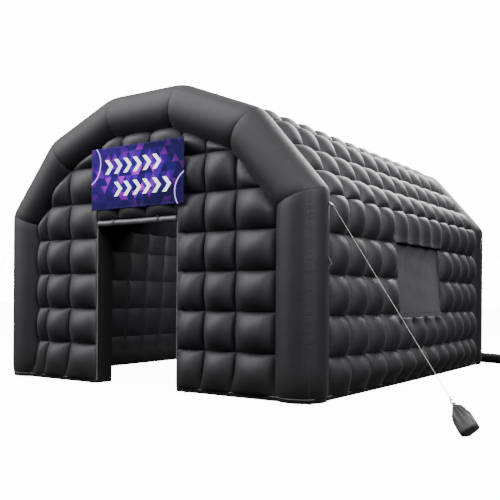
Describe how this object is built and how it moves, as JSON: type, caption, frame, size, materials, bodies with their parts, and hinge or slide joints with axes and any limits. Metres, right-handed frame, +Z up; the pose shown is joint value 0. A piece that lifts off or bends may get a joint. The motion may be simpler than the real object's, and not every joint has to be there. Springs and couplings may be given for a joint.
{
  "type": "inflatable tent",
  "caption": "House-shaped black inflatable party tent with quilted walls, end arches of round tube, an open doorway under a banner, and a side window.",
  "frame": {"origin": "on the ground at the centre of the tent footprint", "axes": "+Z up, -Y out through the doorway, +X out through the window wall"},
  "size_m": [7.6589, 6.9608, 3.5223],
  "materials": {
    "tube_fabric": "satin black coated polyester",
    "quilted_fabric": "satin black coated polyester in quilted cells",
    "flap_fabric": "satin dark grey coated polyester",
    "printed_banner": "printed polyester in blue and violet",
    "webbing": "matt black woven webbing",
    "ring_steel": "bright plated steel",
    "rope": "white braided cord",
    "sack_fabric": "satin dark grey woven sack cloth"
  },
  "bodies": {
    "root": {"banner": "printed_banner", "door_flap_rolled": "flap_fabric", "door_flap_tie_1": "webbing", "door_flap_tie_2": "webbing", "front_arch_left_eave": "tube_fabric", "front_arch_left_leg": "tube_fabric", "front_arch_left_slope": "tube_fabric", "front_arch_right_eave": "tube_fabric", "front_arch_right_leg": "tube_fabric", "front_arch_right_slope": "tube_fabric", "front_arch_top": "tube_fabric", "front_wall_left_of_door": "quilted_fabric", "front_wall_over_door": "quilted_fabric", "front_wall_right_of_door": "quilted_fabric", "grip_handle_right": "webbing", "ground_tab_corner_left": "webbing", "ground_tab_corner_right": "webbing", "ground_tab_door_left": "webbing", "ground_tab_door_right": "webbing", "guy_ring_front_left": "ring_steel", "guy_ring_front_right": "ring_steel", "guy_ring_rear_left": "ring_steel", "guy_ring_rear_right": "ring_steel", "guy_rope_front_left": "rope", "guy_rope_front_right": "rope", "guy_rope_rear_right": "rope", "guy_tab_front_left": "webbing", "guy_tab_front_right": "webbing", "guy_tab_rear_left": "webbing", "guy_tab_rear_right": "webbing", "inflation_hose": "flap_fabric", "rear_arch_left_eave": "tube_fabric", "rear_arch_left_leg": "tube_fabric", "rear_arch_left_slope": "tube_fabric", "rear_arch_right_eave": "tube_fabric", "rear_arch_right_leg": "tube_fabric", "rear_arch_right_slope": "tube_fabric", "rear_arch_top": "tube_fabric", "rear_wall": "quilted_fabric", "roof_left_eave": "quilted_fabric", "roof_left_slope": "quilted_fabric", "roof_right_eave": "quilted_fabric", "roof_right_slope": "quilted_fabric", "roof_top": "quilted_fabric", "rope_clip_front_left": "webbing", "rope_clip_front_right": "webbing", "rope_clip_rear_right": "webbing", "sandbag_front_left": "sack_fabric", "sandbag_front_right": "sack_fabric", "sandbag_rear_right": "sack_fabric", "side_wall_left": "quilted_fabric", "side_wall_right_beside_window": "quilted_fabric", "side_wall_right_front": "quilted_fabric", "side_wall_right_over_window": "quilted_fabric", "side_wall_right_rear": "quilted_fabric", "side_wall_right_under_window": "quilted_fabric", "window_flap": "flap_fabric", "window_sill_strip": "webbing", "window_toggle_1": "webbing", "window_toggle_2": "webbing"}
  },
  "joints": []
}
